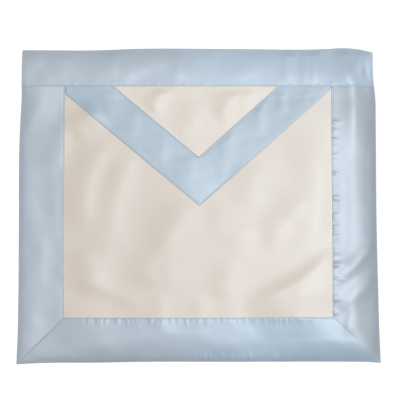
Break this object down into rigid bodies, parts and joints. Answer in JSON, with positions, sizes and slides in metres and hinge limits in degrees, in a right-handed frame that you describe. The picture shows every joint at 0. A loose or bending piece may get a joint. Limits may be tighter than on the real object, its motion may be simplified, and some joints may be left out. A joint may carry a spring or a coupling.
{
  "type": "masonic apron",
  "caption": "Waist apron of cream cloth lying flat, edged with satin ribbon, with a satin waistband and a pointed flap that has its own ribbon.",
  "frame": {"origin": "under the middle of the apron, on the surface that it lies on", "axes": "+X to the right as seen from the front, +Y towards the waist edge, +Z out of the front face"},
  "size_m": [0.4142, 0.3593, 0.007],
  "materials": {
    "satin_ribbon": "pale blue satin with a soft sheen",
    "cream_cloth": "cream cloth, fine plain weave, matt"
  },
  "bodies": {
    "root": {"apron_panel": "cream_cloth", "left_border": "satin_ribbon", "right_border": "satin_ribbon", "bottom_border": "satin_ribbon", "waistband": "satin_ribbon", "flap_panel": "cream_cloth", "flap_band_left": "satin_ribbon", "flap_band_right": "satin_ribbon"}
  },
  "joints": []
}
